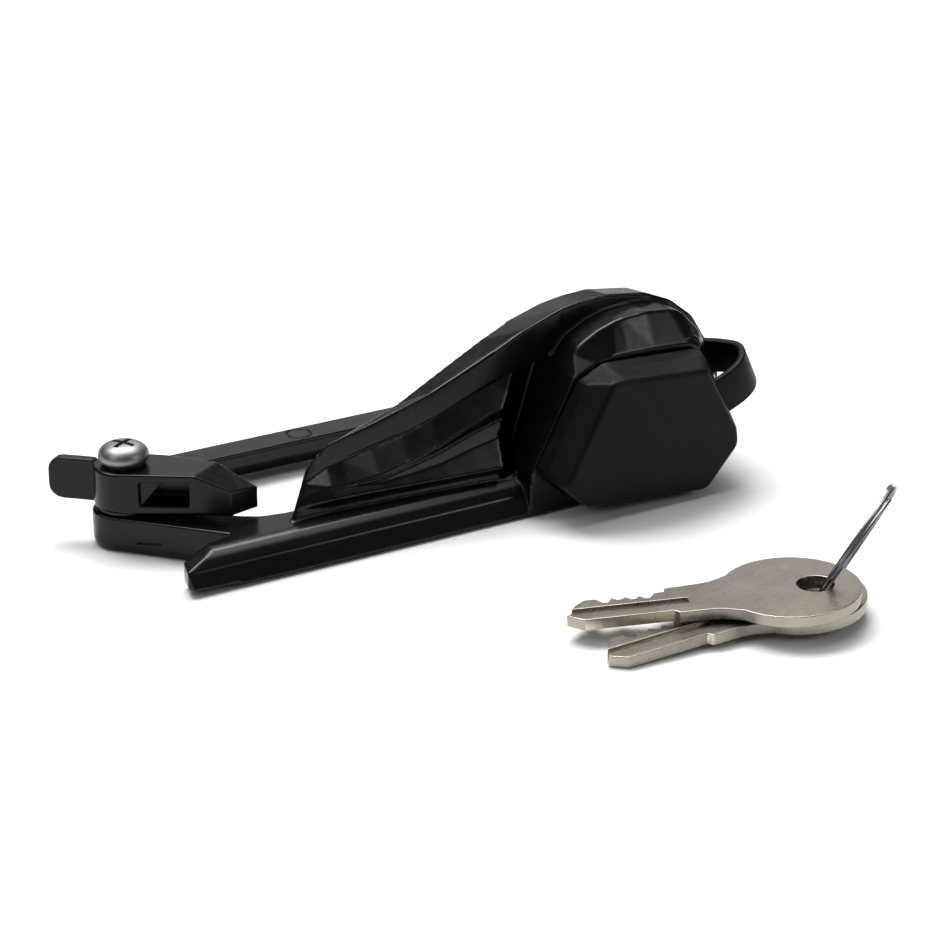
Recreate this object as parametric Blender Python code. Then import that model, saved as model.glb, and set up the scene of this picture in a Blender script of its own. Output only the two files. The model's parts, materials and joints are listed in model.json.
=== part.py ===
"""Keyed lever lock for a coupler or accessory rail, with its two keys.

Units: the named sizes are millimetres, the shapes are built in millimetres, and the last
step scales them to metres.
Frame: the origin is the centre of the hub's underside, on the resting plane, +X runs along
the frame from the hub to the lock head, -Y is the front, +Z is up.
"""
import math

import bmesh
import bpy
from mathutils import Matrix, Vector

MM = 0.001
FIT = 0.3            # gap left between two pieces that touch

# ---- driving sizes -------------------------------------------------------
DECK_Z = 6.3         # top of the hub, the arms and both rails
HUB_R = 5.2
FRONT_Y = -27.8      # front plane of the head and foot of the front rail
LIP_Y = -19.0        # front of the flange that rims the fin and the head
BACK_Y = -12.0       # rear plane of the head
RIM_Y = -28.3        # plane of the dust cap's rim
CAP_FRONT_Y = -36.0
SLOT_END_X = 84.0    # right end of the slot between the two rails

PIVOT = (0.4, -0.25, 0.0)        # axis of the pawl and its screw, parallel to Z
PAWL_Z0, PAWL_Z1 = 7.2, 14.2
PAWL_R = 5.3
SCREW_HEAD_R = 4.3

LOCK_X, LOCK_Z = 86.5, 14.0      # axis of the lock cylinder, parallel to Y
BARREL_R = 7.6
PLUG_R = 5.1
WAFERS = 5
WAFER_PITCH = 2.2
WAFER_FIRST_Y = -29.2
KEYWAY_WIDTH = 2.3

KEY_THICK = 1.9
KEY_BOW = (35.5, 0.2, 11.3)      # centre and radius of the round bow, from the tip
KEY_HOLE = (39.6, 0.3, 3.0)      # ring hole, same frame
KEY_CUTS = [(15.6, 3.3), (13.9, 3.2), (13.0, 1.7), (12.2, 1.7), (11.4, 2.8), (10.7, 1.9), (10.0, 1.9),
            (9.2, 2.9), (8.4, 2.2), (7.7, 2.2), (7.0, 3.1), (6.2, 1.6), (5.4, 1.6), (4.4, 3.2),
            (2.6, 3.2), (1.0, 1.8)]
KEY_1_TIP, KEY_1_HEADING, KEY_1_TILT = (44.4, -70.4, 2.4), -22.1, 2.3
KEY_2_TIP, KEY_2_HEADING, KEY_2_TILT = (44.2, -81.2, 0.05), -1.9, 2.5
RING_R = 10.4                    # middle of the wire
RING_WIRE_R = 0.31
RING_PITCH = 0.68
RING_CENTRE, RING_HEADING, RING_LEAN = (91.35, -82.5, 9.94), 34.7, 27.5
RING_AT_KEYS = (82.8, -83.5, 3.8)   # where the ring passes through both key holes

CAP_HINGE = (103.1, -28.3, 17.6)    # line the cap swings about, just outside its right side


# ---- mesh helpers --------------------------------------------------------
def clear_scene():
    for item in list(bpy.data.objects):
        bpy.data.objects.remove(item, do_unlink=True)


def paint(name, colour, roughness, metallic=0.0):
    """A plain Principled material."""
    material = bpy.data.materials.new(name)
    material.use_nodes = True
    shader = material.node_tree.nodes["Principled BSDF"]
    shader.inputs["Base Color"].default_value = (*colour, 1.0)
    shader.inputs["Roughness"].default_value = roughness
    shader.inputs["Metallic"].default_value = metallic
    material.diffuse_color = (*colour, 1.0)
    return material


def place(name, bm, material=None, sharp=35.0):
    """Turn a bmesh into an object, both still in millimetres."""
    bmesh.ops.recalc_face_normals(bm, faces=bm.faces)
    mesh = bpy.data.meshes.new(name)
    bm.to_mesh(mesh)
    bm.free()
    mesh.shade_smooth()
    mesh.set_sharp_from_angle(angle=math.radians(sharp))
    item = bpy.data.objects.new(name, mesh)
    bpy.context.scene.collection.objects.link(item)
    if material:
        mesh.materials.append(material)
    return item


def combine(body, tool, operation):
    """Boolean of two objects, kept in body; the tool is removed."""
    modifier = body.modifiers.new("cut", "BOOLEAN")
    modifier.operation = operation
    modifier.solver = "EXACT"
    modifier.object = tool
    graph = bpy.context.evaluated_depsgraph_get()
    mesh = bpy.data.meshes.new_from_object(body.evaluated_get(graph))
    body.modifiers.clear()
    old = body.data
    body.data = mesh
    mesh.name = body.name
    bpy.data.meshes.remove(old)
    bpy.data.objects.remove(tool, do_unlink=True)
    return body


def cut(body, *tools):
    for tool in tools:
        combine(body, tool, "DIFFERENCE")
    return body


def join(body, *tools):
    for tool in tools:
        combine(body, tool, "UNION")
    return body


def rounded(corners, radius, steps=4):
    """Outline whose corners are arcs. radius is one number or one for each corner."""
    count = len(corners)
    radii = radius if isinstance(radius, (list, tuple)) else [radius] * count
    outline = []
    for i, corner in enumerate(corners):
        here = Vector(corner)
        back = Vector(corners[i - 1]) - here
        ahead = Vector(corners[(i + 1) % count]) - here
        half = back.angle(ahead) / 2
        reach = radii[i] / math.tan(half)
        reach = min(reach, back.length * 0.48, ahead.length * 0.48)
        size = reach * math.tan(half)
        start = here + back.normalized() * reach
        centre = here + (back.normalized() + ahead.normalized()).normalized() * size / math.sin(half)
        end = here + ahead.normalized() * reach
        first = start - centre
        turn = first.angle_signed(end - centre) if size > 1e-6 else 0.0
        for k in range(steps + 1):
            angle = -turn * k / steps
            outline.append(tuple(centre + Matrix.Rotation(angle, 2) @ first))
    return outline


def inset(corners, distance):
    """Outline moved inwards by distance; corners run anticlockwise."""
    count = len(corners)
    moved = []
    for i, corner in enumerate(corners):
        here = Vector(corner)
        along = (here - Vector(corners[i - 1])).normalized()
        onward = (Vector(corners[(i + 1) % count]) - here).normalized()
        side_a = Vector((-along.y, along.x))
        side_b = Vector((-onward.y, onward.x))
        mitre = (side_a + side_b).normalized()
        moved.append(tuple(here + mitre * distance / mitre.dot(side_a)))
    return moved


def loft(rings):
    """Closed solid through rings of 3-D points, all with the same count."""
    bm = bmesh.new()
    loops = [[bm.verts.new(p) for p in ring] for ring in rings]
    count = len(rings[0])
    for lower, upper in zip(loops, loops[1:]):
        for i in range(count):
            j = (i + 1) % count
            bm.faces.new((lower[i], lower[j], upper[j], upper[i]))
    bm.faces.new(loops[0])
    bm.faces.new(loops[-1])
    bm.normal_update()
    bmesh.ops.triangulate(bm, faces=bm.faces)
    return bm


def flat(outline, z):
    return [(x, y, z) for x, y in outline]


def upright(outline, y):
    """An X-Z outline standing at depth y."""
    return [(x, y, z) for x, z in outline]


def slab(name, outline, z0, z1, material=None):
    return place(name, loft([flat(outline, z0), flat(outline, z1)]), material)


def plate(name, outline, y0, y1, material=None):
    return place(name, loft([upright(outline, y0), upright(outline, y1)]), material)


def box(name, lo, hi, material=None):
    corners = [(lo[0], lo[1]), (hi[0], lo[1]), (hi[0], hi[1]), (lo[0], hi[1])]
    return slab(name, corners, lo[2], hi[2], material)


def turned(name, profile, centre, axis="Z", steps=32, material=None):
    """Solid of revolution. profile is a closed loop of (radius, height along the axis)."""
    bm = bmesh.new()
    loops = []
    for k in range(steps):
        a = 2 * math.pi * k / steps
        ring = []
        for r, h in profile:
            if r < 1e-6 and loops:
                ring.append(None)
                continue
            p = (r * math.cos(a), r * math.sin(a), h)
            if axis == "Y":
                p = (p[0], h, p[1])
            ring.append(bm.verts.new(Vector(p) + Vector(centre)))
        if loops:
            ring = [v or loops[0][i] for i, v in enumerate(ring)]
        loops.append(ring)
    count = len(profile)
    for k in range(steps):
        one, two = loops[k], loops[(k + 1) % steps]
        for i in range(count):
            j = (i + 1) % count
            face = [one[i], one[j], two[j], two[i]]
            face = [v for n, v in enumerate(face) if v not in face[:n]]
            if len(face) > 2:
                bm.faces.new(face)
    return place(name, bm, material)


def disc(name, centre, radius, lo, hi, axis="Z", steps=32, material=None, edge=0.0):
    """Cylinder between two heights, with a chamfer of size edge at both ends."""
    if edge:
        profile = [(0, lo), (radius - edge, lo), (radius, lo + edge), (radius, hi - edge),
                   (radius - edge, hi), (0, hi)]
    else:
        profile = [(0, lo), (radius, lo), (radius, hi), (0, hi)]
    return turned(name, profile, centre, axis, steps, material)


def tube(name, centre, inner, outer, lo, hi, axis="Z", steps=32, material=None):
    profile = [(inner, lo), (outer, lo), (outer, hi), (inner, hi)]
    return turned(name, profile, centre, axis, steps, material)


def swept(name, path, width, height, up, material=None, sides=4):
    """Bar of elliptical or rectangular section along an open path."""
    rings = []
    for i, point in enumerate(path):
        before = Vector(path[max(i - 1, 0)])
        after = Vector(path[min(i + 1, len(path) - 1)])
        along = (after - before).normalized()
        side = along.cross(up).normalized()
        top = side.cross(along)
        ring = []
        for k in range(sides):
            a = 2 * math.pi * (k + 0.5) / sides
            reach = 1 / max(abs(math.cos(a)), abs(math.sin(a))) if sides == 4 else 1.0
            offset = side * width / 2 * math.cos(a) * reach + top * height / 2 * math.sin(a) * reach
            ring.append(Vector(point) + offset)
        rings.append(ring)
    return place(name, loft(rings), material)


def between(x, stations):
    """Value at x on a line through (x, value) stations."""
    for (x0, v0), (x1, v1) in zip(stations, stations[1:]):
        if x <= x1:
            return v0 + (v1 - v0) * (x - x0) / (x1 - x0)
    return stations[-1][1]


def pinned(item, point):
    """Move an object's origin to a point on its joint axis, leaving its shape in place."""
    shift = Vector(point)
    item.data.transform(Matrix.Translation(-shift))
    item.location = shift
    return item


# ---- outlines of the lock head, anticlockwise with X to the right and Z up ----
HEAD_LEFT_FOOT = (63.9, 8.8)
HEAD_LEFT_TOP = (72.3, 24.2)
HEAD_OUTLINE = [(64.2, 0.4), (100.0, 0.4), (106.0, 8.5), (106.0, 14.0), (101.2, 26.2),
                (96.2, 31.4), (89.0, 32.1), (83.5, 31.7), (79.6, 30.5), (75.3, 28.3),
                HEAD_LEFT_TOP, HEAD_LEFT_FOOT]
HEAD_FACE_OUTLINE = [(64.2, 0.4), (98.5, 0.4), (104.6, 7.6), (104.9, 12.4), (98.4, 25.2),
                     (96.4, 26.0), (89.0, 26.5), (83.5, 26.6), (80.4, 26.6), (77.4, 26.0),
                     (72.4, 24.0), (64.0, 9.0)]
RIM_OUTLINE = [(71.5, 2.2), (97.4, 0.8), (104.1, 7.9), (104.5, 12.0), (97.9, 25.2),
               (77.8, 26.2), (72.5, 23.8), (64.2, 9.3)]
CAP_SIDE_OUTLINE = [(71.2, 2.6), (96.8, 0.9), (103.4, 8.0), (103.6, 12.0), (97.0, 24.9),
                    (77.3, 25.9), (72.3, 24.1), (64.3, 9.2)]
CAP_FACE_OUTLINE = [(70.8, 3.2), (95.5, 1.3), (102.0, 8.5), (101.6, 11.6), (94.8, 24.0),
                    (77.6, 25.3), (75.0, 25.2), (65.5, 7.6)]
CAVITY_OUTLINE = [(69.0, 2.6), (98.6, 2.6), (103.0, 9.0), (103.0, 13.6), (98.8, 25.0),
                  (95.2, 28.8), (84.0, 29.1), (79.0, 27.0), (76.6, 23.6), (69.0, 9.4)]
COVER_POSTS = [(73.3, 6.5), (98.6, 6.4), (97.0, 24.4), (78.4, 22.6)]


# ---- the frame -----------------------------------------------------------
def fin_top_front(x):
    return between(x, [(26.3, 16.7), (29.6, 18.0), (35.5, 19.1), (49.8, 23.2), (59.7, 27.2),
                       (68.0, 31.0), (75.3, 33.5), (79.5, 34.1)])


def fin_top_back(x):
    return between(x, [(26.3, 15.5), (33.1, 17.9), (44.1, 20.9), (53.1, 24.7), (62.4, 28.5),
                       (72.2, 31.9), (76.5, 32.8), (79.5, 33.2)])


def fin_lip_low(x):
    return between(x, [(26.3, 13.6), (31.6, 14.6), (44.5, 17.0), (50.4, 18.5), (73.5, 26.5)])


def fin_section(x):
    """Cross-section of the fin: base groove, two lands with a flute between, overhanging lip."""
    t = min(max((x - 32.0) / 30.0, 0.0), 1.0)
    base = between(x, [(26.0, -20.6), (39.0, -21.4), (49.0, -22.3), (62.0, -23.2)])
    ridge = base - 0.5 - 0.6 * t
    lip_y = between(x, [(26.0, -18.5), (60.0, LIP_Y), (80.0, LIP_Y)])
    lip_z = fin_lip_low(x)
    top_y = lip_y + 0.2 + 2.6 * t
    flute = between(x, [(32.0, 10.4), (38.0, 10.4), (48.0, 11.8), (60.0, 15.0), (78.0, 18.0)])
    spread = 0.25 + 1.5 * t
    depth = 0.15 + 1.7 * t
    slope = (top_y - ridge) / (lip_z - 8.8)
    back = between(x, [(26.0, -17.9), (72.0, BACK_Y), (78.0, BACK_Y)])

    def land(z):
        return ridge + slope * (z - 8.8)

    return [(base, 5.0), (base + 0.1, 7.6), (ridge, 8.8),
            (land(flute - spread), flute - spread), (land(flute) + depth, flute),
            (land(flute + spread), flute + spread), (top_y, lip_z - 0.3), (lip_y, lip_z),
            (lip_y, fin_top_front(x)), (back, fin_top_back(x)), (back, 5.0)]


def make_fin():
    """Fin lofted from its leaning leading edge into the lock head."""
    foot = Vector((20.5, -20.5, 5.0))
    tip = Vector((25.4, -18.5, 15.2))
    section = fin_section(29.0)
    low, high = section[0][1], section[8][1]
    edge = []
    for i, (y, z) in enumerate(section):
        along = foot.lerp(tip, (z - low) / (high - low))
        side = 0.12 if i >= 9 else -0.5
        edge.append((along.x, along.y + side, along.z))
    rings = [edge]
    for x in (29.0, 32.0, 38.0, 44.0, 50.0, 56.0, 62.0, 68.0, 75.3):
        rings.append([(x, y, z) for y, z in fin_section(x)])
    return place("fin", loft(rings))


def make_head():
    """Flange plate behind, housing block in front with its broad chamfer, boss for the cap."""
    under = 0.06                   # the flange's left end lies just inside the fin

    def flange(y, top, drop):
        outline = [(68.0, 0.5), (101.0, 0.5), (109.0, 10.0), (109.6, 17.0),
                   (103.3, 27.2 - drop), (98.5, 31.0 - drop), (93.3, 33.2 - drop),
                   (84.6, 34.4 - drop), (79.5, top(79.5)), (75.3, top(75.3)),
                   (68.0, top(68.0) - under)]
        return upright(rounded(outline, [0.2, 3, 4, 5, 6, 4, 3, 5, 4, 3, 0.2], 6), y)

    head = place("head", loft([flange(LIP_Y + under, fin_top_front, 0.0),
                               flange(BACK_Y - under, fin_top_back, 0.9)]))
    block = rounded(HEAD_OUTLINE, [0.3, 3, 3, 5, 6, 6, 9, 9, 8, 6, 2, 2], 6)
    face = rounded(HEAD_FACE_OUTLINE, [0.3, 2, 2, 3, 2, 2, 6, 6, 4, 3, 1, 1.5], 6)
    join(head, place("block", loft([upright(face, FRONT_Y), upright(block, -24.4),
                                    upright(block, -14.5)])))
    boss = [upright(rounded(inset(RIM_OUTLINE, margin), 1.2, 3), y)
            for y, margin in ((FRONT_Y + 1.0, 2.2), (-31.0, 3.3))]
    return join(head, place("boss", loft(boss)))


def make_pocket():
    """Deep recess between the fin's web and the left wall of the head."""
    near = [(60.5, DECK_Z + 0.1), (63.2, DECK_Z + 0.3), (72.4, 24.1), (73.0, 26.3), (62.5, 21.8)]
    deep = [(66.5, DECK_Z + 1.2), (67.6, DECK_Z + 1.6), (72.9, 24.2), (73.2, 25.9), (69.0, 23.4)]
    return place("pocket", loft([upright(near, -30.0), upright(near, -21.0), upright(deep, -15.0)]))


def hub_arc(start, end, steps=10):
    """Points on the hub between two angles in degrees, both included."""
    points = []
    for k in range(steps + 1):
        a = math.radians(start + (end - start) * k / steps)
        points.append((HUB_R * math.cos(a), HUB_R * math.sin(a)))
    return points


def make_fork():
    """Flat fork: hub, two arms, front rail with its free tip, back rail and cross-member."""
    back_corner = Vector((92.0, 9.9))
    corner = [tuple(back_corner + 7.0 * Vector((math.cos(math.radians(a)), math.sin(math.radians(a)))))
              for a in range(0, 91, 15)]
    outline = [(10.4, -19.9), (0.2, -22.4), (-0.9, -26.2), (-0.4, -27.3), (0.8, -27.82),
               (98.0, -27.82), (100.2, -26.0), (100.2, -14.0), (99.0, -12.5)]
    outline += corner + [(12.0, 16.9), (9.6, 16.4), (8.0, 15.0)] + hub_arc(137.0, 221.0)
    fork = place("main_frame", loft([flat(inset(outline, 0.8), 0.0), flat(inset(outline, 0.2), 0.6),
                                     flat(outline, 1.4), flat(outline, DECK_Z)]))
    slot = rounded([(6.6, 0.0), (14.6, -13.4), (18.0, -15.6), (22.5, -16.4), (62.0, -16.4),
                    (72.0, -13.0), (SLOT_END_X, -13.0), (SLOT_END_X, 11.2), (16.4, 11.2),
                    (13.5, 9.0)], [1.2, 3, 3, 3, 3, 3, 3, 3, 3, 2], 3)
    bevel = [(-22.6, DECK_Z), (-23.7, 6.1), (-25.0, 5.4), (-26.4, 4.1), (-27.6, 0.7), (-30.0, 0.7),
             (-30.0, 9.0), (-22.6, 9.0)]
    lift = [(-6.0, -1.0), (26.0, -1.0), (26.0, 0.0), (-6.0, 1.3)]
    chamfer = [(10.5, 5.8), (11.0, 5.8), (11.6, 5.5), (11.6, 3.4), (13.4, 0.9), (18.0, 0.9),
               (18.0, -1.0), (10.5, -1.0)]
    slope = [(5.2, DECK_Z), (-1.2, 4.1), (-6.0, 2.4), (-6.0, 9.0), (5.2, 9.0)]
    cut(fork, slab("slot", slot, -1.0, 9.0),
        place("bevel", loft([[(x, y, z) for y, z in bevel] for x in (-5.0, 63.7)])),
        place("chamfer", loft([[(x, y, z) for y, z in chamfer] for x in (20.0, 99.5)])),
        plate("slope", slope, -30.0, -20.3), plate("lift", lift, -30.0, -21.6))
    return fork


def make_frame(material):
    """Fork, fin and lock head in one moulding, with the bores and hollows cut out."""
    frame = join(make_fork(), make_fin(), make_head())
    cut(frame, make_pocket())
    bore = turned("bore", [(0, 1.5), (3.3, 1.5), (3.3, DECK_Z + 1), (0, DECK_Z + 1)], PIVOT)
    cavity = plate("cavity", rounded(CAVITY_OUTLINE, 1.5, 3), -24.4, BACK_Y + 1)
    front_cavity = plate("front_cavity", rounded(inset(CAVITY_OUTLINE, 2.2), 1.5, 3), -27.0, -24.0)
    ledge = plate("ledge", rounded(inset(CAVITY_OUTLINE, -1.2), 1.5, 3), -14.6, BACK_Y + 1.1)
    lock_bore = disc("lock_bore", (LOCK_X, 0, LOCK_Z), BARREL_R + FIT, -32.0, -26.0, "Y")
    cut(frame, bore, cavity, front_cavity, ledge, lock_bore)
    for x, z in COVER_POSTS:
        join(frame, disc("post", (x, 0, z), 2.6, -27.4, -14.9, "Y", 20))
        cut(frame, disc("pilot", (x, 0, z), 1.3, -22.0, -14.0, "Y", 16))
    ejector = tube("ejector", (41.0, 14.0, 0), 2.0, 2.3, DECK_Z - 0.15, DECK_Z + 1, steps=24)
    cut(frame, ejector, place("socket", loft(strap_socket())))
    frame.data.materials.clear()
    frame.data.materials.append(material)
    frame.data.shade_smooth()
    frame.data.set_sharp_from_angle(angle=math.radians(35))
    return frame


# ---- strap ---------------------------------------------------------------
STRAP_ALONG = Vector((0.42, 0.0, -0.9075)).normalized()   # width direction of the flat strap
STRAP_OUT = Vector((0.9075, 0.0, 0.42)).normalized()      # straight away from the cap's side
STRAP_WIDTH = 7.2
STRAP_THICK = 1.3
STRAP_ROOT = Vector((101.0, 0.0, 17.1))                   # middle of the root on the cap's side
STRAP_ROUTE = [(0.0, -32.2), (3.0, -32.3), (6.2, -31.1), (8.2, -27.8), (7.3, -23.6), (5.6, -19.4),
               (5.5, -16.4)]


def smoothed(stations, steps):
    """Points on a smooth curve through the stations, steps of them to each span."""
    points = []
    for i in range(len(stations) - 1):
        p0, p1, p2, p3 = (Vector(stations[min(max(i + k, 0), len(stations) - 1)])
                          for k in (-1, 0, 1, 2))
        for k in range(steps):
            t = k / steps
            points.append(0.5 * (2 * p1 + (p2 - p0) * t + (2 * p0 - 5 * p1 + 4 * p2 - p3) * t ** 2
                                 + (3 * p1 - p0 - 3 * p2 + p3) * t ** 3))
    return points + [Vector(stations[-1])]


def strap_points():
    """Loop that leaves the cap to the right and turns back into the flange."""
    return [STRAP_ROOT + STRAP_OUT * away + Vector((0.0, y, 0.0))
            for away, y in smoothed(STRAP_ROUTE, 3)]


def strap_ring(middle, side, half_width):
    half = STRAP_ALONG * half_width
    return [middle - half - side, middle + half - side, middle + half + side, middle - half + side]


def strap_socket():
    """Slot in the flange that takes the end of the strap."""
    side = STRAP_OUT * (STRAP_THICK / 2 + FIT)
    end = strap_points()[-1]
    return [strap_ring(Vector((end.x, y, end.z)), side, STRAP_WIDTH / 2 + FIT)
            for y in (LIP_Y - 1.0, end.y + FIT)]


def make_strap(material):
    points = strap_points()
    rings = []
    for i, point in enumerate(points):
        before = points[max(i - 1, 0)]
        after = points[min(i + 1, len(points) - 1)]
        side = (after - before).cross(STRAP_ALONG).normalized() * STRAP_THICK / 2
        rings.append(strap_ring(point, side, STRAP_WIDTH / 2))
    return place("cap_strap", loft(rings), material, 50)


# ---- dust cap ------------------------------------------------------------
def make_cap(material):
    """Moulded cap: straight side, bevelled left flank, hollow over the boss."""
    radii = [2.0, 2.4, 1.8, 1.8, 1.6, 2.0, 1.0, 1.0]
    rings = [upright(rounded(RIM_OUTLINE, radii), RIM_Y),
             upright(rounded(CAP_SIDE_OUTLINE, radii), -31.3),
             upright(rounded(CAP_FACE_OUTLINE, radii), CAP_FRONT_Y + 0.5),
             upright(rounded(inset(CAP_FACE_OUTLINE, 0.5), radii), CAP_FRONT_Y)]
    cap = place("dust_cap", loft(rings))
    hollow = loft([upright(rounded(inset(RIM_OUTLINE, 1.7), 1.6), RIM_Y + 1.0),
                   upright(rounded(inset(CAP_SIDE_OUTLINE, 1.7), 1.6), -31.3),
                   upright(rounded(inset(CAP_FACE_OUTLINE, 1.9), 1.4), CAP_FRONT_Y + 1.7)])
    cut(cap, place("hollow", hollow))
    cap.data.materials.clear()
    cap.data.materials.append(material)
    return pinned(cap, CAP_HINGE)


# ---- lock cylinder -------------------------------------------------------
AXIS = (LOCK_X, 0.0, LOCK_Z)


def wafer_y(index):
    return WAFER_FIRST_Y + WAFER_PITCH * index


def make_barrel(material):
    """Threaded body with a front flange; a wide ring groove inside clears the wafers."""
    groove = PLUG_R + 1.15
    profile = [(PLUG_R + 0.2, -33.3), (8.4, -33.3), (8.8, -32.9), (8.8, -31.9), (BARREL_R, -31.9),
               (BARREL_R, -17.6), (PLUG_R + 0.2, -17.6), (PLUG_R + 0.2, -19.2), (groove, -19.2),
               (groove, -30.4), (PLUG_R + 0.2, -30.4)]
    return turned("lock_barrel", profile, AXIS, "Y", 40, material)


def make_plug(material):
    """Plug with keyway, wafer slots, spring pockets and a square tail for the cam."""
    plug = disc("lock_plug", AXIS, PLUG_R, -33.4, -17.4, "Y", 40)
    tail = box("tail", (LOCK_X - 2.5, -18.0, LOCK_Z - 2.5), (LOCK_X + 2.5, -9.8, LOCK_Z + 2.5))
    join(plug, tail)
    half = KEYWAY_WIDTH / 2
    keyway = box("keyway", (LOCK_X - half, -36.0, LOCK_Z - 4.0), (LOCK_X + half, -18.6, LOCK_Z + 4.0))
    cut(plug, keyway, disc("tap", AXIS, 1.75, -15.5, -8.0, "Y", 16))
    for i in range(WAFERS):
        y = wafer_y(i)
        front, rear = y - 0.65, y + 0.65
        slot = box("slot", (LOCK_X - 3.4, front, LOCK_Z - 6.0), (LOCK_X + 1.9, rear, LOCK_Z + 6.0))
        pocket = box("pocket", (LOCK_X + 1.5, front, LOCK_Z - 3.2), (LOCK_X + 3.5, rear, LOCK_Z + 6.0))
        cut(plug, slot, pocket)
    plug.data.materials.clear()
    plug.data.materials.append(material)
    return pinned(plug, AXIS)


def make_wafers(material, spring_material):
    """Thin brass plates with a window for the key and a lug for the spring."""
    lug_heights = (0.9, 1.3, 1.0, 1.4, 1.1)
    for i, lug in enumerate(lug_heights):
        y = wafer_y(i)
        wafer = box(f"wafer_{i + 1}", (LOCK_X - 3.1, y - 0.35, LOCK_Z - 4.4),
                    (LOCK_X + 1.6, y + 0.35, LOCK_Z + 4.4))
        join(wafer, box("lug", (LOCK_X + 1.0, y - 0.35, LOCK_Z + lug),
                        (LOCK_X + 3.2, y + 0.35, LOCK_Z + lug + 1.2)))
        cut(wafer, box("window", (LOCK_X - 1.5, y - 1.0, LOCK_Z - 3.5),
                       (LOCK_X + 1.1, y + 1.0, LOCK_Z + 3.3)))
        wafer.data.materials.clear()
        wafer.data.materials.append(material)
        pinned(wafer, (LOCK_X, y, LOCK_Z))
        make_wafer_spring(i, y, LOCK_Z + lug - 0.25, spring_material)


def make_wafer_spring(index, y, top, material):
    """Small coil standing in the plug's pocket under the wafer's lug."""
    turns, steps, wire, mean = 4.0, 8, 0.10, 0.32
    low = LOCK_Z - 2.85
    path = []
    for k in range(int(turns * steps) + 1):
        a = 2 * math.pi * k / steps
        path.append((LOCK_X + 2.5 + mean * math.cos(a), y + mean * math.sin(a),
                     low + (top - low) * k / (turns * steps)))
    name = f"wafer_spring_{index + 1}"
    coil = swept(name, path, wire * 2, wire * 2, Vector((0, 0, 1)), material, 5)
    pinned(coil, (LOCK_X + 2.5, y, low))


def make_lock(steel, brass, zinc, rubber):
    make_barrel(zinc)
    make_plug(brass)
    make_wafers(brass, steel)
    tube("barrel_seal", AXIS, BARREL_R + 0.4, 8.7, -31.75, -31.15, "Y", 32, rubber)
    nut = plate("barrel_nut", [(LOCK_X + 9.8 * math.cos(math.radians(60 * k)),
                                LOCK_Z + 9.8 * math.sin(math.radians(60 * k))) for k in range(6)],
                -26.7, -23.7)
    cut(nut, disc("hole", AXIS, BARREL_R + 0.2, -28, -22, "Y", 32))
    nut.data.materials.clear()
    nut.data.materials.append(steel)

    cam = disc("cam_tongue", AXIS, 5.6, -11.6, -9.9, "Y", 32)
    blade = rounded([(LOCK_X - 18.5, LOCK_Z - 3.4), (LOCK_X, LOCK_Z - 5.0), (LOCK_X, LOCK_Z + 5.0),
                     (LOCK_X - 18.5, LOCK_Z + 3.4)], [1.5, 0.2, 0.2, 1.5])
    join(cam, plate("blade", blade, -11.6, -9.9))
    cut(cam, box("square", (LOCK_X - 2.7, -14, LOCK_Z - 2.7), (LOCK_X + 2.7, -8, LOCK_Z + 2.7)))
    cam.data.materials.clear()
    cam.data.materials.append(steel)
    washer = tube("cam_washer", AXIS, 2.2, 5.0, -9.5, -8.7, "Y", 28, steel)
    screw = turned("cam_screw", [(0, -14.5), (1.45, -14.5), (1.45, -8.4), (3.6, -8.4), (3.6, -6.8),
                                 (2.9, -6.0), (0, -5.8)], AXIS, "Y", 28, steel)
    cross_recess(screw, (LOCK_X, -5.8, LOCK_Z), "Y", 1.0, 2.0)
    for item in (cam, washer, screw):
        pinned(item, AXIS)


def cross_recess(screw, top, axis, depth, reach):
    """Cross-shaped driver recess in a screw head."""
    material = screw.data.materials[0]
    for turn in (0, 90):
        if axis == "Z":
            tool = box("arm", (-reach, -0.38, -depth), (reach, 0.38, 1.0))
            tool.data.transform(Matrix.Rotation(math.radians(turn + 28), 4, "Z"))
        else:
            tool = box("arm", (-reach, -depth, -0.38), (reach, 1.0, 0.38))
            tool.data.transform(Matrix.Rotation(math.radians(turn + 20), 4, "Y"))
        tool.data.transform(Matrix.Translation(Vector(top)))
        cut(screw, tool)
    screw.data.materials.clear()
    screw.data.materials.append(material)


# ---- rear cover ----------------------------------------------------------
def make_cover(material, steel):
    cover = plate("rear_cover", rounded(inset(CAVITY_OUTLINE, -0.9), 1.4, 3), -14.2, BACK_Y)
    cut(cover, disc("hole", AXIS, 4.4, -16, -10, "Y", 28))
    for x, z in COVER_POSTS:
        countersink = [(0, -16), (1.5, -16), (1.5, -13.7), (2.7, -13.2), (2.7, -10), (0, -10)]
        cut(cover, turned("hole", countersink, (x, 0, z), "Y", 20))
    cover.data.materials.clear()
    cover.data.materials.append(material)
    for i, (x, z) in enumerate(COVER_POSTS):
        screw = turned(f"cover_screw_{i + 1}", [(0, -20.0), (1.0, -20.0), (1.1, -13.5), (2.4, -12.9),
                                                (2.4, -12.5), (1.8, -12.2), (0, -12.1)],
                       (x, 0, z), "Y", 20, steel)
        cross_recess(screw, (x, -12.1, z), "Y", 0.6, 1.2)


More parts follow.
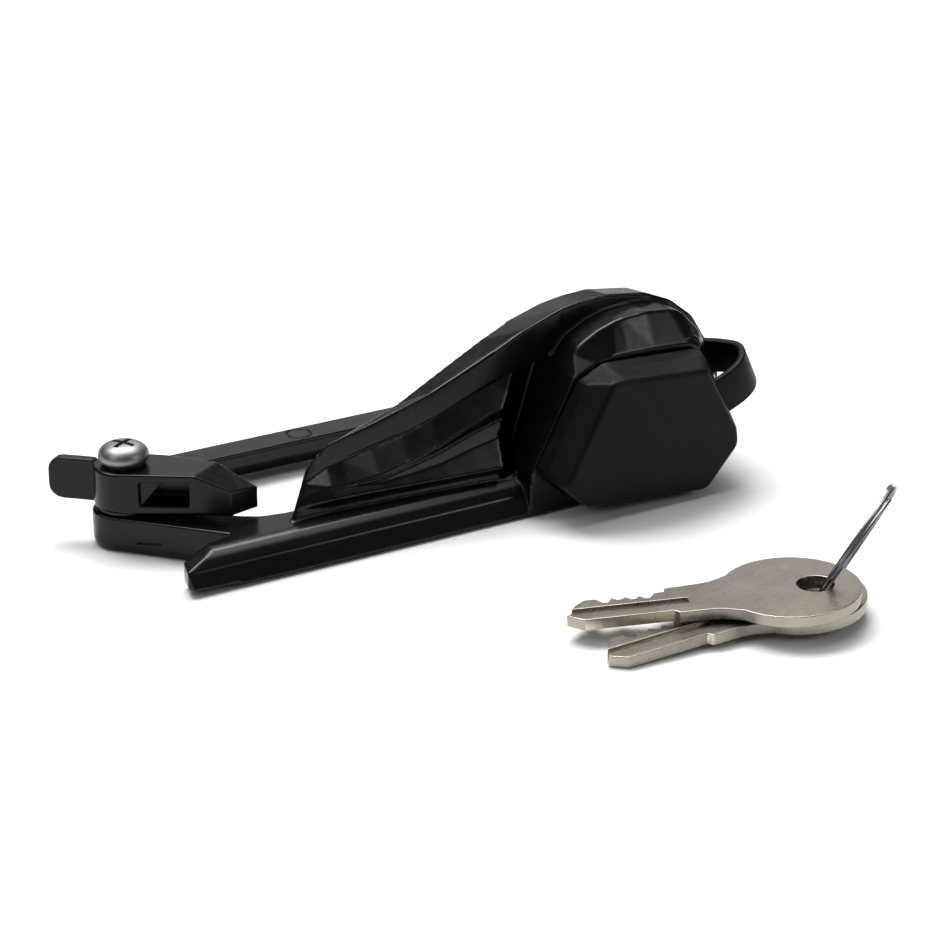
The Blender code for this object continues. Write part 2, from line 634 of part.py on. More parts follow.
# ---- latch pawl and its pivot -------------------------------------------
def make_pawl(material):
    """Lever on the hub: round boss, tapering nose with a sloped top and a window, finger tab."""
    outline = [(-3.02, -4.35), (12.3, -14.9), (17.9, -13.7), (13.9, -8.0), (8.2, -0.7), (4.8, 2.3),
               (-1.5, 5.0)]
    nose = place("latch_pawl", loft([flat(outline, PAWL_Z0), flat(outline, PAWL_Z1)]))
    boss = disc("boss", (0, 0, 0), PAWL_R, PAWL_Z0, PAWL_Z1, steps=40, edge=0.3)
    slope = place("slope", loft([
        [(6.4, -11.9, PAWL_Z1), (14.0, -17.5, 10.2), (14.0, -17.5, 20), (6.4, -11.9, 20)],
        [(14.4, -7.2, PAWL_Z1), (22.0, -12.8, 10.6), (22.0, -12.8, 20), (14.4, -7.2, 20)]]))
    tab = rounded([(3.0, PAWL_Z0), (13.3, PAWL_Z0), (13.3, 14.6), (5.2, 14.6), (4.7, 13.9),
                   (3.0, 13.9)], [0.2, 2.4, 2.4, 0.4, 0.1, 0.1])
    tab_solid = place("tab", loft([upright(tab, -0.9), upright(tab, 0.9)]))
    tab_solid.data.transform(Matrix.Rotation(math.radians(136.0), 4, "Z"))
    join(nose, boss)
    cut(nose, slope)
    join(nose, tab_solid)
    window = box("window", (0.2, -7.0, 8.6), (8.6, -1.4, 12.9))
    wedge = [(-0.2, 8.4), (0.5, 8.4), (4.3, 13.1), (-0.2, 13.1)]
    rib = place("rib", loft([upright(wedge, -5.3), upright(wedge, -1.2)]))
    for item in (window, rib):
        item.data.transform(Matrix.Rotation(math.radians(-34.6), 4, "Z"))
        item.data.transform(Matrix.Translation(Vector((2.9, -1.2, 0))))
    cut(nose, window)
    join(nose, rib)
    cut(nose, disc("bore", (0, 0, 0), 3.05, 5.0, 16.0),
        disc("spring_room", (0, 0, 0), 3.9, 5.0, 10.4))
    nose.data.materials.clear()
    nose.data.materials.append(material)
    nose.location = PIVOT
    return nose


def make_pivot(steel, brass, black):
    tube("thread_insert", PIVOT, 2.1, 3.0, 1.8, 6.1, material=brass)
    tube("pivot_washer", PIVOT, 3.75, 4.7, 6.55, 6.95, material=black)
    tube("pivot_bush", PIVOT, 2.15, 2.75, 6.55, 14.0, material=steel)
    wire, mean, turns, steps = 0.22, 3.32, 4, 14
    low, high = 7.0, 9.9
    path = []
    for k in range(turns * steps + 1):
        a = 2 * math.pi * k / steps
        rise = low + (high - low) * k / (turns * steps)
        path.append((PIVOT[0] + mean * math.cos(a), PIVOT[1] + mean * math.sin(a), rise))
    swept("pawl_spring", path, wire * 2, wire * 2, Vector((0, 0, 1)), steel, 6)

    base = PAWL_Z1 + FIT
    profile = [(0, 2.2), (1.6, 2.2), (1.85, 2.6), (1.85, base), (3.9, base), (SCREW_HEAD_R, base + 0.3),
               (SCREW_HEAD_R, base + 1.3), (3.9, base + 2.1), (3.1, base + 2.8), (2.0, base + 3.25),
               (1.0, base + 3.45), (0, base + 3.5)]
    screw = turned("pivot_screw", profile, PIVOT, steps=40, material=steel)
    cross_recess(screw, (PIVOT[0], PIVOT[1], base + 3.5), "Z", 1.5, 2.1)


# ---- keys ----------------------------------------------------------------
def make_key(name, tip, heading, tilt, material):
    """Flat key lying down: round bow with a ring hole, shouldered neck, grooved blade with cuts."""
    bow_x, bow_y, bow_r = KEY_BOW
    outline = [(-1.1, -1.7), (1.3, -3.9), (15.8, -3.9), (16.4, -4.8), (21.5, -4.8), (23.4, -5.1),
               (24.9, -5.8)]
    for k in range(33):
        a = math.radians(-144 + 288 * k / 32)
        outline.append((bow_x + bow_r * math.cos(a), bow_y + bow_r * math.sin(a)))
    outline += [(24.9, 6.0), (23.4, 5.3), (21.5, 4.9), (15.9, 4.5)] + KEY_CUTS + [(-0.6, -0.6)]
    key = slab(name, outline, 0.0, KEY_THICK)
    hole_x, hole_y, hole_r = KEY_HOLE
    deep = 0.6
    cut(key, disc("hole", (hole_x, hole_y, 0), hole_r, -1, 4, steps=28),
        box("groove", (-2.0, -1.5, KEY_THICK - deep), (18.6, 0.3, KEY_THICK + 1)),
        box("groove", (-2.0, 0.9, -1), (18.3, 2.0, deep)))
    turn = Matrix.Rotation(math.radians(heading), 4, "Z") @ Matrix.Rotation(math.radians(-tilt), 4, "Y")
    lie = Matrix.Translation(Vector(tip)) @ turn
    key.data.transform(lie)
    key.data.materials.clear()
    key.data.materials.append(material)
    return pinned(key, lie @ Vector((hole_x, hole_y, KEY_THICK / 2)))


def make_split_ring(material):
    """Two turns of round wire side by side, leaning through both key holes."""
    steps = 84
    sweep = 705.0                  # just under two turns, from one cut end to the other
    path = []
    for k in range(steps + 1):
        a = math.radians(100.0 + sweep * k / steps)
        across = RING_PITCH * (k / steps - 0.5) * sweep / 360.0
        path.append((RING_R * math.cos(a), across, RING_R * math.sin(a)))
    ring = swept("split_ring", path, RING_WIRE_R * 2, RING_WIRE_R * 2, Vector((0, 1, 0)), material, 10)
    turn = Matrix.Rotation(math.radians(RING_HEADING), 4, "Z")
    lean = Matrix.Rotation(math.radians(RING_LEAN), 4, "X")
    ring.data.transform(Matrix.Translation(Vector(RING_CENTRE)) @ turn @ lean)
    return pinned(ring, RING_AT_KEYS)


def to_metres():
    """Scale every finished shape and its place from millimetres to metres."""
    for item in bpy.data.objects:
        item.data.transform(Matrix.Scale(MM, 4))
        item.location = item.location * MM


def main():
    clear_scene()
    black = paint("black_moulding", (0.012, 0.012, 0.013), 0.28)
    rubber = paint("black_rubber", (0.02, 0.022, 0.025), 0.55)
    steel = paint("zinc_steel", (0.55, 0.55, 0.56), 0.32, 1.0)
    dark_steel = paint("dark_steel", (0.25, 0.25, 0.26), 0.35, 1.0)
    brass = paint("brass", (0.70, 0.55, 0.28), 0.35, 1.0)
    zinc = paint("zinc_casting", (0.45, 0.45, 0.46), 0.4, 1.0)
    plated = paint("nickel_plate", (0.60, 0.56, 0.52), 0.3, 1.0)
    make_frame(black)
    make_cover(black, steel)
    make_pawl(black)
    make_pivot(steel, brass, black)
    make_lock(steel, brass, zinc, rubber)
    make_cap(rubber)
    make_strap(rubber)
    make_key("key_1", KEY_1_TIP, KEY_1_HEADING, KEY_1_TILT, plated)
    make_key("key_2", KEY_2_TIP, KEY_2_HEADING, KEY_2_TILT, plated)
    make_split_ring(dark_steel)
    to_metres()


main()
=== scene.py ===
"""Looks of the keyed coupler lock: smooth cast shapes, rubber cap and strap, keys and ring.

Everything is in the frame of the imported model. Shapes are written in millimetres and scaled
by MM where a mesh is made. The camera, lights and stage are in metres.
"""
import json
import math

import bmesh
import bpy
from mathutils import Matrix, Vector


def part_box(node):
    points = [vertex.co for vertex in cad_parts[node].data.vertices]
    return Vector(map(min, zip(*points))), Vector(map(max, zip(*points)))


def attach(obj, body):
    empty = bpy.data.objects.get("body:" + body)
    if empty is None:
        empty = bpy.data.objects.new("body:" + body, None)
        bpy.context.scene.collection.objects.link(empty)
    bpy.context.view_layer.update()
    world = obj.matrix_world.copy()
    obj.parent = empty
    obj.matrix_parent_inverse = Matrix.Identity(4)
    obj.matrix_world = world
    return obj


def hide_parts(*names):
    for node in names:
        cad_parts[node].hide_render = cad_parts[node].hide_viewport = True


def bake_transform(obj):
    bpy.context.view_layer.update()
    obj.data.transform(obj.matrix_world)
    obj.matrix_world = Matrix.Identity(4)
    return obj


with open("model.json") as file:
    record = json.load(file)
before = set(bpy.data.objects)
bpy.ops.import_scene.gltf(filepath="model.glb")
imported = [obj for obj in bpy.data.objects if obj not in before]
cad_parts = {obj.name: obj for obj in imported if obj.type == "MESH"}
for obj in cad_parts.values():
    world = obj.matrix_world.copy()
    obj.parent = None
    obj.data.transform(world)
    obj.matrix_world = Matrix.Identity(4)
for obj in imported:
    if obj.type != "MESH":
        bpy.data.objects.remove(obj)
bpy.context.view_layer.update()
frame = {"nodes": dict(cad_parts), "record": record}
NODES = frame["nodes"]
MM = 0.001


# ---- camera --------------------------------------------------------------
CAMERA_AZIMUTH, CAMERA_TILT = 31.4, 22.5
CAMERA_PLACE = Vector((-0.18375, -0.41489, 0.19836))
CAMERA_LENS, SENSOR = 109.89, 36.0


def make_camera():
    data = bpy.data.cameras.new("camera")
    data.lens, data.sensor_width = CAMERA_LENS, SENSOR
    camera = bpy.data.objects.new("camera", data)
    bpy.context.scene.collection.objects.link(camera)
    turn = Matrix.Rotation(math.radians(-CAMERA_AZIMUTH), 4, "Z")
    tilt = Matrix.Rotation(math.radians(90 - CAMERA_TILT), 4, "X")
    camera.matrix_world = Matrix.Translation(CAMERA_PLACE) @ turn @ tilt
    bpy.context.scene.camera = camera


# ---- materials -----------------------------------------------------------
class Finish:
    """Small builder for a procedural Principled material in object space."""

    def __init__(self, name):
        self.material = bpy.data.materials.new(name)
        self.material.use_nodes = True
        self.tree = self.material.node_tree
        self.shader = self.tree.nodes["Principled BSDF"]
        self.place = self.tree.nodes.new("ShaderNodeTexCoord").outputs["Object"]
        self.last_normal = None

    def link(self, source, target):
        self.tree.links.new(source, target)

    def set(self, **values):
        for name, value in values.items():
            socket = name.replace("_", " ").title().replace("Ior", "IOR")
            self.shader.inputs[socket].default_value = value
        return self

    def noise(self, scale, detail=4.0, rough=0.55, stretch=None):
        node = self.tree.nodes.new("ShaderNodeTexNoise")
        node.inputs["Scale"].default_value = scale
        node.inputs["Detail"].default_value = detail
        node.inputs["Roughness"].default_value = rough
        source = self.place
        if stretch:
            mapping = self.tree.nodes.new("ShaderNodeMapping")
            mapping.inputs["Scale"].default_value = stretch
            self.link(source, mapping.inputs["Vector"])
            source = mapping.outputs["Vector"]
        self.link(source, node.inputs["Vector"])
        return node.outputs["Fac"]

    def ramp(self, value, low, high, start=0.3, end=0.7):
        """Map a 0-1 value to colours or greys between low and high."""
        node = self.tree.nodes.new("ShaderNodeValToRGB")
        node.color_ramp.elements[0].position = start
        node.color_ramp.elements[1].position = end
        for element, colour in zip(node.color_ramp.elements, (low, high)):
            grey = isinstance(colour, (int, float))
            element.color = (colour, colour, colour, 1) if grey else (*colour, 1)
        self.link(value, node.inputs["Fac"])
        return node.outputs["Color"]

    def mix(self, factor, one, two):
        node = self.tree.nodes.new("ShaderNodeMix")
        node.data_type = "RGBA"
        self.link(factor, node.inputs["Factor"])
        for source, socket in ((one, node.inputs[6]), (two, node.inputs[7])):
            if isinstance(source, tuple):
                socket.default_value = (*source, 1)
            else:
                self.link(source, socket)
        return node.outputs[2]

    def edges(self, start, end):
        """1 along convex edges, 0 elsewhere, from the shape's pointiness."""
        geometry = self.tree.nodes.new("ShaderNodeNewGeometry")
        return self.ramp(geometry.outputs["Pointiness"], 0.0, 1.0, start, end)

    def bump(self, value, strength, distance):
        node = self.tree.nodes.new("ShaderNodeBump")
        node.inputs["Strength"].default_value = strength
        node.inputs["Distance"].default_value = distance
        self.link(value, node.inputs["Height"])
        if self.last_normal:
            self.link(self.last_normal, node.inputs["Normal"])
        self.last_normal = node.outputs["Normal"]
        self.link(self.last_normal, self.shader.inputs["Normal"])
        return self

    def colour(self, source):
        self.link(source, self.shader.inputs["Base Color"])
        return self

    def rough(self, source):
        self.link(source, self.shader.inputs["Roughness"])
        return self


def black_coat():
    """Semi-gloss powder coat: fine orange peel and faint specks."""
    f = Finish("black_coat").set(specular_ior_level=0.26, specular_tint=(0.92, 0.97, 1.0, 1.0))
    cloud = f.ramp(f.noise(60, 3), (0.0015, 0.0016, 0.0019), (0.0033, 0.0036, 0.0041))
    specks = f.ramp(f.noise(2600, 2, 0.7), 0.0, 1.0, 0.79, 0.86)
    f.colour(f.mix(specks, cloud, (0.024, 0.025, 0.027)))
    f.rough(f.ramp(f.noise(700, 5, 0.6), 0.19, 0.27))
    f.bump(f.noise(1500, 3, 0.5), 0.07, 0.00005)
    return f.bump(f.noise(330, 2, 0.5), 0.05, 0.0001).material


def black_moulding():
    """Fine satin plastic of the rear cover."""
    f = Finish("black_moulding").set(specular_ior_level=0.45)
    f.colour(f.ramp(f.noise(90, 3), (0.013, 0.013, 0.014), (0.021, 0.021, 0.022)))
    f.rough(f.ramp(f.noise(900, 4), 0.40, 0.55))
    return f.bump(f.noise(2600, 3), 0.3, 0.00005).material


def black_rubber():
    """Satin rubber with a bluish bloom and fine grain."""
    f = Finish("black_rubber").set(specular_ior_level=0.12, specular_tint=(0.88, 0.95, 1.0, 1.0))
    bloom = f.ramp(f.noise(120, 4), (0.0020, 0.0027, 0.0036), (0.0040, 0.0050, 0.0063))
    dust = f.ramp(f.noise(3200, 2, 0.8), 0.0, 1.0, 0.76, 0.86)
    f.colour(f.mix(dust, bloom, (0.024, 0.027, 0.030)))
    f.rough(f.ramp(f.noise(500, 5, 0.6), 0.36, 0.48))
    return f.bump(f.noise(2400, 4, 0.6), 0.28, 0.00006).material


def metal(name, low, high, rough, grain=700, stretch=None, worn=None):
    """Plated or bare metal: cloudy tone, fine lines and rubbed edges."""
    f = Finish(name).set(metallic=1.0)
    tone = f.ramp(f.noise(160, 4), low, high)
    if worn:
        tone = f.mix(f.edges(0.52, 0.60), tone, worn)
    f.colour(tone)
    f.rough(f.ramp(f.noise(grain, 5, 0.7, stretch), rough[0], rough[1]))
    return f.bump(f.noise(grain * 2, 3, 0.6, stretch), 0.12, 0.00003).material


MATERIALS = {
    "black_coat": black_coat(),
    "black_moulding": black_moulding(),
    "black_rubber": black_rubber(),
    "stainless": metal("stainless", (0.22, 0.22, 0.22), (0.32, 0.32, 0.32), (0.36, 0.50), 900),
    "zinc_steel": metal("zinc_steel", (0.48, 0.48, 0.49), (0.62, 0.62, 0.63), (0.26, 0.42)),
    "spring_steel": metal("spring_steel", (0.33, 0.33, 0.34), (0.45, 0.45, 0.46), (0.28, 0.4)),
    "zinc_casting": metal("zinc_casting", (0.38, 0.38, 0.39), (0.5, 0.5, 0.51), (0.34, 0.5)),
    "brass": metal("brass", (0.60, 0.44, 0.20), (0.74, 0.57, 0.29), (0.26, 0.42)),
    "nickel_plate": metal("nickel_plate", (0.25, 0.222, 0.195), (0.335, 0.298, 0.262), (0.24, 0.36),
                          500, (1, 6, 1), (0.72, 0.66, 0.56)),
    "ring_steel": metal("ring_steel", (0.14, 0.14, 0.15), (0.30, 0.30, 0.31), (0.22, 0.38), 900),
}
SLOTS = {part["node"]: part["material_slot"] for part in frame["record"]["subparts"]}


def finish_node(node):
    """Give a CAD node that stays in view the finish of its slot."""
    mesh = NODES[node].data
    mesh.materials.clear()
    mesh.materials.append(MATERIALS[SLOTS[node]])


def finish_piece(piece, node, body):
    """Let a new piece stand for a CAD node, with its finish and its body.

    A piece given no body here is left unattached.
    """
    piece.data.materials.clear()
    piece.data.materials.append(MATERIALS[SLOTS[node]])
    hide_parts(node)
    if body:
        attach(piece, body)


# ---- mesh helpers --------------------------------------------------------
def add_object(name, bm, sharp=None):
    bmesh.ops.recalc_face_normals(bm, faces=bm.faces)
    mesh = bpy.data.meshes.new(name)
    bm.to_mesh(mesh)
    bm.free()
    mesh.shade_smooth()
    if sharp:
        mesh.set_sharp_from_angle(angle=math.radians(sharp))
    item = bpy.data.objects.new(name, mesh)
    bpy.context.scene.collection.objects.link(item)
    return item


def bake(item):
    """Apply an object's modifiers to its mesh."""
    graph = bpy.context.evaluated_depsgraph_get()
    mesh = bpy.data.meshes.new_from_object(item.evaluated_get(graph))
    item.modifiers.clear()
    old = item.data
    item.data = mesh
    mesh.name = item.name
    bpy.data.meshes.remove(old)
    return item


def copy_of(node, name):
    """Copy of a CAD node's shape, with the doubled corners welded."""
    bm = bmesh.new()
    bm.from_mesh(NODES[node].data)
    bmesh.ops.remove_doubles(bm, verts=bm.verts, dist=1e-6)
    return add_object(name, bm)


def cast(item, voxel, rounds):
    """Turn a crisp solid into a cast one: even mesh, small fillets on every edge.

    voxel is the mesh's step in millimetres. More rounds of smoothing give larger fillets.
    """
    remesh = item.modifiers.new("remesh", "REMESH")
    remesh.mode = "VOXEL"
    remesh.voxel_size = voxel * MM
    remesh.adaptivity = 0.0
    smooth = item.modifiers.new("smooth", "SMOOTH")
    smooth.factor = 0.5
    smooth.iterations = rounds
    bake(item)
    item.data.shade_smooth()
    return item


def carve(item, *tools):
    """Cut closed tools out of a closed mesh."""
    for tool in tools:
        modifier = item.modifiers.new("carve", "BOOLEAN")
        modifier.operation = "DIFFERENCE"
        modifier.solver = "MANIFOLD"
        modifier.object = tool
        bake(item)
        bpy.data.objects.remove(tool, do_unlink=True)
    return item


def loft(rings, closed=False):
    """Skin through rings of points; closed joins the last ring to the first."""
    bm = bmesh.new()
    loops = [[bm.verts.new(Vector(p) * MM) for p in ring] for ring in rings]
    count = len(rings[0])
    pairs = list(zip(loops, loops[1:])) + ([(loops[-1], loops[0])] if closed else [])
    for lower, upper in pairs:
        for i in range(count):
            j = (i + 1) % count
            bm.faces.new((lower[i], lower[j], upper[j], upper[i]))
    if not closed:
        bm.faces.new(loops[0])
        bm.faces.new(loops[-1])
    bm.normal_update()
    return bm


def bevelled(item, width, segments, angle):
    """Ease every edge sharper than angle (degrees), and keep the flats shaded flat."""
    modifier = item.modifiers.new("bevel", "BEVEL")
    modifier.width = width * MM
    modifier.segments = segments
    modifier.limit_method = "ANGLE"
    modifier.angle_limit = math.radians(angle)
    modifier.use_clamp_overlap = False
    item.data.shade_smooth()
    level = item.modifiers.new("level", "WEIGHTED_NORMAL")
    level.weight = 100
    return bake(item)


def rounded(corners, radii, steps=8):
    """Outline in millimetres whose corners are arcs."""
    count = len(corners)
    outline = []
    for i, corner in enumerate(corners):
        here = Vector(corner)
        back = Vector(corners[i - 1]) - here
        ahead = Vector(corners[(i + 1) % count]) - here
        half = back.angle(ahead) / 2
        reach = min(radii[i] / math.tan(half), back.length * 0.48, ahead.length * 0.48)
        size = reach * math.tan(half)
        start = here + back.normalized() * reach
        inward = (back.normalized() + ahead.normalized()).normalized()
        centre = here + inward * size / math.sin(half)
        first = start - centre
        turn = first.angle_signed(here + ahead.normalized() * reach - centre)
        for k in range(steps + 1):
            outline.append(tuple(centre + Matrix.Rotation(-turn * k / steps, 2) @ first))
    return outline


def turned(name, profile, centre):
    """Solid of revolution about Z. profile runs from axis to axis as (radius, height)."""
    steps = 96
    rings = []
    bm = bmesh.new()
    for r, h in profile:
        if r < 1e-6:
            rings.append([bm.verts.new(Vector((centre[0], centre[1], centre[2] + h)) * MM)])
            continue
        rings.append([bm.verts.new(Vector((centre[0] + r * math.cos(2 * math.pi * k / steps),
                                           centre[1] + r * math.sin(2 * math.pi * k / steps),
                                           centre[2] + h)) * MM) for k in range(steps)])
    for lower, upper in zip(rings, rings[1:]):
        for k in range(steps):
            j = (k + 1) % steps
            face = [lower[k % len(lower)], lower[j % len(lower)], upper[j % len(upper)],
                    upper[k % len(upper)]]
            face = [v for n, v in enumerate(face) if v not in face[:n]]
            bm.faces.new(face)
    return add_object(name, bm, 30)


# ---- frame, pawl and cover -----------------------------------------------
DECK_Z = 6.3                              # top face of the rails
EJECTOR_MARK, EJECTOR_RADII, EJECTOR_DEPTH = (41.0, 14.0), (2.0, 2.35), 0.16
LINE_MARK = (Vector((-0.9, -6.87, 2.2)), Vector((2.02, -10.25, 2.6)))   # on the front arm's face
LINE_HEIGHT, LINE_DEPTH = 0.4, 0.3
CLEAR = 1.0                               # how far a cutting tool stands out of the face


def ring_tool(centre, inner, outer, low, high):
    """Closed ring of square section, for cutting a round mark."""
    steps = 64
    rings = []
    for k in range(steps):
        a = 2 * math.pi * k / steps
        rings.append([(centre[0] + r * math.cos(a), centre[1] + r * math.sin(a), z)
                      for r, z in ((inner, low), (outer, low), (outer, high), (inner, high))])
    return add_object("tool", loft(rings, closed=True))


def groove_tool(start, end, height, depth):
    """Closed bar along a line on an upright face, for cutting a thin groove."""
    out = Vector((end.y - start.y, start.x - end.x, 0.0)).normalized()
    rings = []
    for point in (start, end):
        rings.append([point + out * away + Vector((0, 0, rise)) for away, rise in
                      ((-depth, -height / 2), (CLEAR, -height / 2), (CLEAR, height / 2),
                       (-depth, height / 2))])
    return add_object("tool", loft(rings))


def make_frame_casting():
    casting = cast(copy_of("main_frame", "frame_casting"), voxel=0.25, rounds=8)
    carve(casting,
          ring_tool(EJECTOR_MARK, *EJECTOR_RADII, DECK_Z - EJECTOR_DEPTH, DECK_Z + CLEAR),
          groove_tool(*LINE_MARK, LINE_HEIGHT, LINE_DEPTH))
    finish_piece(casting, "main_frame", "frame")


def make_pawl():
    pawl = cast(copy_of("latch_pawl", "pawl_casting"), voxel=0.15, rounds=9)
    finish_piece(pawl, "latch_pawl", "pawl")


def make_cover():
    cover = cast(copy_of("rear_cover", "cover_moulding"), voxel=0.25, rounds=4)
    finish_piece(cover, "rear_cover", "frame")


# ---- dust cap and strap --------------------------------------------------
def make_cap():
    cap = cast(copy_of("dust_cap", "cap_moulding"), voxel=0.2, rounds=26)
    finish_piece(cap, "dust_cap", "cap")


# The strap is a flat band: the line of its width, the way out from the cap, its root, and
# its route as (distance out, depth) stations. The first station lies inside the cap's wall.
STRAP_ALONG = Vector((0.42, 0.0, -0.9075))
STRAP_OUT = Vector((0.9075, 0.0, 0.42))
STRAP_ROOT = Vector((101.0, 0.0, 17.1))
STRAP_ROUTE = [(-1.2, -32.1), (3.0, -32.3), (6.2, -31.1), (8.2, -27.8), (7.3, -23.6), (5.6, -19.4),
               (5.5, -16.4)]
STRAP_WIDTH, STRAP_THICK, STRAP_EDGE = 7.2, 1.3, 0.4
STRAP_STEPS = 12                          # points to each span of the route


def smoothed(stations, steps):
    """Points on a smooth curve through the stations, steps of them to each span."""
    points = []
    for i in range(len(stations) - 1):
        p0, p1, p2, p3 = (Vector(stations[min(max(i + k, 0), len(stations) - 1)])
                          for k in (-1, 0, 1, 2))
        for k in range(steps):
            t = k / steps
            points.append(0.5 * (2 * p1 + (p2 - p0) * t + (2 * p0 - 5 * p1 + 4 * p2 - p3) * t ** 2
                                 + (3 * p1 - p0 - 3 * p2 + p3) * t ** 3))
    return points + [Vector(stations[-1])]


def make_strap():
    """Band from inside the cap's wall, round its loop and into the head."""
    points = [STRAP_ROOT + STRAP_OUT * away + Vector((0.0, y, 0.0))
              for away, y in smoothed(STRAP_ROUTE, STRAP_STEPS)]
    w, t = STRAP_WIDTH / 2, STRAP_THICK / 2
    section = rounded([(-w, -t), (w, -t), (w, t), (-w, t)], [STRAP_EDGE] * 4, 4)
    rings = []
    for i, point in enumerate(points):
        ahead = points[min(i + 1, len(points) - 1)] - points[max(i - 1, 0)]
        side = ahead.cross(STRAP_ALONG).normalized()
        rings.append([point + STRAP_ALONG * a + side * b for a, b in section])
    strap = add_object("strap_moulding", loft(rings), 50)
    finish_piece(strap, "cap_strap", None)
    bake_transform(strap)


# ---- pivot screw ---------------------------------------------------------
HEAD_HEIGHT, HEAD_RIM = 3.5, 1.3          # whole head, and its upright rim below the dome
HEAD_FULLNESS = 0.72                      # below 1, the dome is fuller than a half ellipse
SHANK_R, SHANK_TIP_R, SHANK_TIP = 1.85, 1.6, 0.4
RECESS_REACH, RECESS_HALF_WIDTH, RECESS_DEPTH = 2.1, 0.42, 1.6
RECESS_TURNS = (28, 118)                  # degrees, one for each slot of the cross


def make_screw():
    """Pan-head screw: domed head with a soft rim, plain shank, cross recess."""
    lo, hi = (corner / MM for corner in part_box("pivot_screw"))
    centre = ((lo.x + hi.x) / 2, (lo.y + hi.y) / 2, 0.0)
    head_r, top = (hi.x - lo.x) / 2, hi.z
    base = top - HEAD_HEIGHT
    profile = [(0, lo.z), (SHANK_TIP_R, lo.z), (SHANK_R, lo.z + SHANK_TIP), (SHANK_R, base)]
    profile += [(head_r - inset, base + rise) for inset, rise in
                ((1.0, 0), (0.62, 0.12), (0.28, 0.45), (0.06, 0.9), (0, HEAD_RIM))]
    dome = HEAD_HEIGHT - HEAD_RIM
    for k in range(1, 12):
        a = math.radians(90 * k / 12)
        profile.append((head_r * math.cos(a) ** HEAD_FULLNESS,
                        base + HEAD_RIM + dome * math.sin(a)))
    profile.append((0, top))
    screw = turned("pan_head_screw", profile, centre)
    for turn in RECESS_TURNS:
        rings = []
        for z, run in ((top - RECESS_DEPTH, 0.6), (top - 0.6, 1.0), (top + CLEAR, 1.2)):
            rings.append([(RECESS_REACH * run * sx, RECESS_HALF_WIDTH * run * sy, z)
                          for sx, sy in ((-1, -1), (1, -1), (1, 1), (-1, 1))])
        tool = add_object("tool", loft(rings))
        tool.data.transform(Matrix.Rotation(math.radians(turn), 4, "Z"))
        tool.data.transform(Matrix.Translation(Vector(centre) * MM))
        carve(screw, tool)
    screw.data.set_sharp_from_angle(angle=math.radians(35))
    finish_piece(screw, "pivot_screw", "frame")


# ---- keys and ring -------------------------------------------------------
def make_key(node, name, body):
    """A key's own shape with its rims eased, as stamping and plating leave them."""
    key = copy_of(node, name)
    dissolve = key.modifiers.new("flat", "DECIMATE")
    dissolve.decimate_type = "DISSOLVE"
    dissolve.angle_limit = math.radians(1.0)
    bake(key)
    bevelled(key, width=0.16, segments=3, angle=30.0)
    finish_piece(key, node, body)


RING_R, RING_WIRE_R, RING_PITCH = 10.4, 0.31, 0.68
RING_CENTRE, RING_HEADING, RING_LEAN = Vector((91.35, -82.5, 9.94)), 34.7, 27.5
RING_START, RING_SWEEP = 100.0, 705.0     # degrees: first cut end, and the run to the second


def make_ring():
    """Two turns of round wire side by side, leaning through both keys."""
    steps, sides = 300, 14
    turn = Matrix.Rotation(math.radians(RING_HEADING), 3, "Z") @ Matrix.Rotation(
        math.radians(RING_LEAN), 3, "X")
    rings = []
    for k in range(steps + 1):
        a = math.radians(RING_START + RING_SWEEP * k / steps)
        out = Vector((math.cos(a), 0.0, math.sin(a)))
        across = Vector((0.0, RING_PITCH * (k / steps - 0.5) * RING_SWEEP / 360.0, 0.0))
        ring = []
        for i in range(sides):
            b = 2 * math.pi * i / sides
            wire = out * math.cos(b) * RING_WIRE_R + Vector((0.0, math.sin(b) * RING_WIRE_R, 0.0))
            ring.append(RING_CENTRE + turn @ (out * RING_R + across + wire))
        rings.append(ring)
    ring = add_object("key_ring", loft(rings), 50)
    finish_piece(ring, "split_ring", "ring")


# ---- wafer springs -------------------------------------------------------
def make_wafer_spring(i):
    """A wafer's coil, copied from its CAD node with its finish, and left without a body."""
    coil = copy_of(f"wafer_spring_{i}", f"wafer_coil_{i}")
    finish_piece(coil, f"wafer_spring_{i}", None)
    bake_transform(coil)


# ---- the rest ------------------------------------------------------------
# CAD nodes shown with their own shape, so only their finish changes.
STAYING = ["cover_screw_1", "cover_screw_2", "cover_screw_3", "cover_screw_4", "pivot_bush",
           "pivot_washer", "thread_insert", "pawl_spring", "lock_barrel", "lock_plug",
           "barrel_seal", "barrel_nut", "cam_tongue", "cam_washer", "cam_screw"]
STAYING += [f"wafer_{i}" for i in range(1, 6)]


# ---- stage ---------------------------------------------------------------
FLOOR_HALF, FLOOR_DROP = 6.0, 0.00002     # the drop keeps the floor clear of the undersides
WORLD_STRENGTH = 0.10


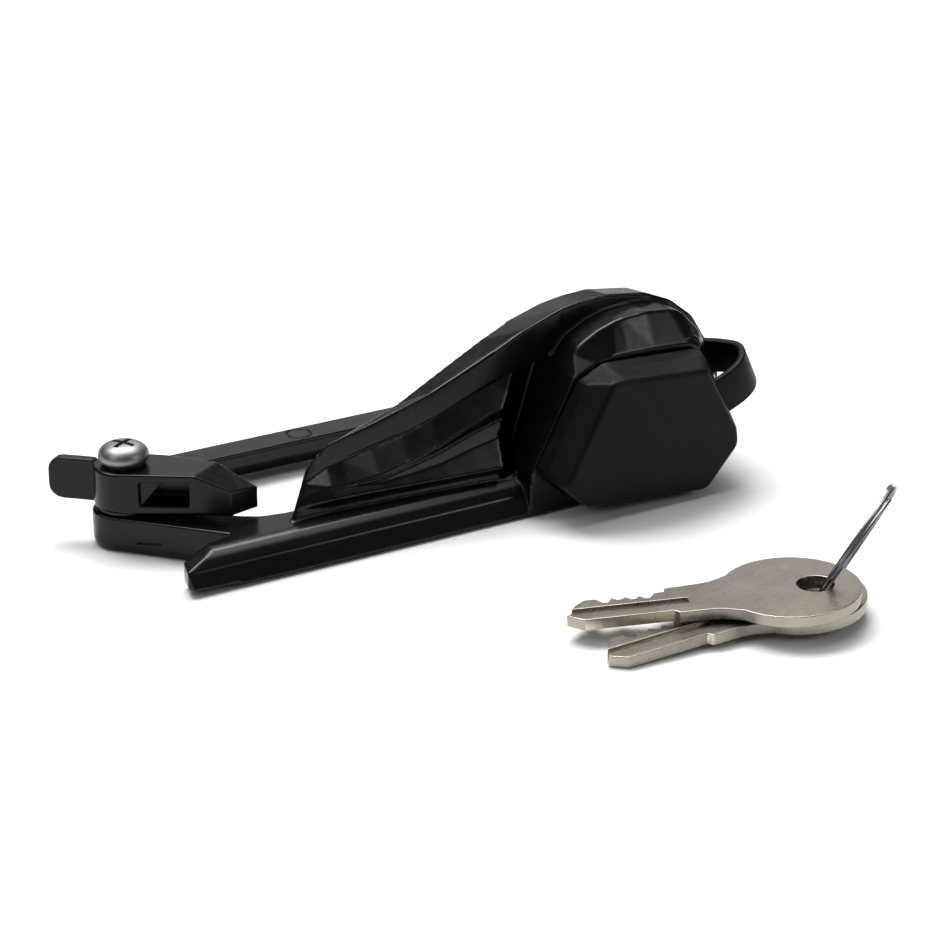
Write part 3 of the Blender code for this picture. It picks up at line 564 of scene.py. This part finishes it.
def make_stage():
    """White paper floor, and a dim even world that keeps the blacks black."""
    bm = bmesh.new()
    bmesh.ops.create_grid(bm, x_segments=1, y_segments=1, size=FLOOR_HALF)
    floor = add_object("floor", bm)
    floor.location.z = -FLOOR_DROP
    paper = bpy.data.materials.new("floor_paper")
    paper.use_nodes = True
    shader = paper.node_tree.nodes["Principled BSDF"]
    shader.inputs["Base Color"].default_value = (0.9, 0.9, 0.9, 1)
    shader.inputs["Roughness"].default_value = 0.9
    floor.data.materials.append(paper)
    world = bpy.data.worlds.new("studio")
    bpy.context.scene.world = world
    world.use_nodes = True
    world.node_tree.nodes["Background"].inputs["Color"].default_value = (1, 1, 1, 1)
    world.node_tree.nodes["Background"].inputs["Strength"].default_value = WORLD_STRENGTH
    bpy.context.scene.view_settings.view_transform = "Standard"


def area_light(name, place, target, size, power):
    """Softbox at place, facing target. Size in metres, power in watts."""
    data = bpy.data.lights.new(name, "AREA")
    data.shape = "RECTANGLE"
    data.size, data.size_y = size
    data.energy = power
    light = bpy.data.objects.new(name, data)
    light.location = place
    light.rotation_euler = (Vector(target) - Vector(place)).to_track_quat("-Z", "Y").to_euler()
    bpy.context.scene.collection.objects.link(light)


def make_lights():
    middle = (0.05, -0.03, 0.01)
    area_light("key_light", (0.10, 0.32, 0.78), middle, (0.7, 0.36), 7.5)
    area_light("ceiling", (0.05, 0.50, 1.3), (0.05, 0.50, 0.0), (1.8, 1.6), 13)
    area_light("side_light", (-0.70, -0.10, 0.60), middle, (0.2, 0.5), 0.8)
    area_light("front_light", (0.52, -0.66, 0.45), middle, (0.22, 0.22), 0.8)
    area_light("back_card", (0.48, 0.68, 0.36), middle, (0.8, 0.3), 0.5)


make_camera()
make_frame_casting()
make_pawl()
make_cover()
make_cap()
make_strap()
make_screw()
make_key("key_1", "key_upper", "key_one")
make_key("key_2", "key_lower", "key_two")
make_ring()
for number in range(1, 6):
    make_wafer_spring(number)
for node in STAYING:
    finish_node(node)
make_stage()
make_lights()
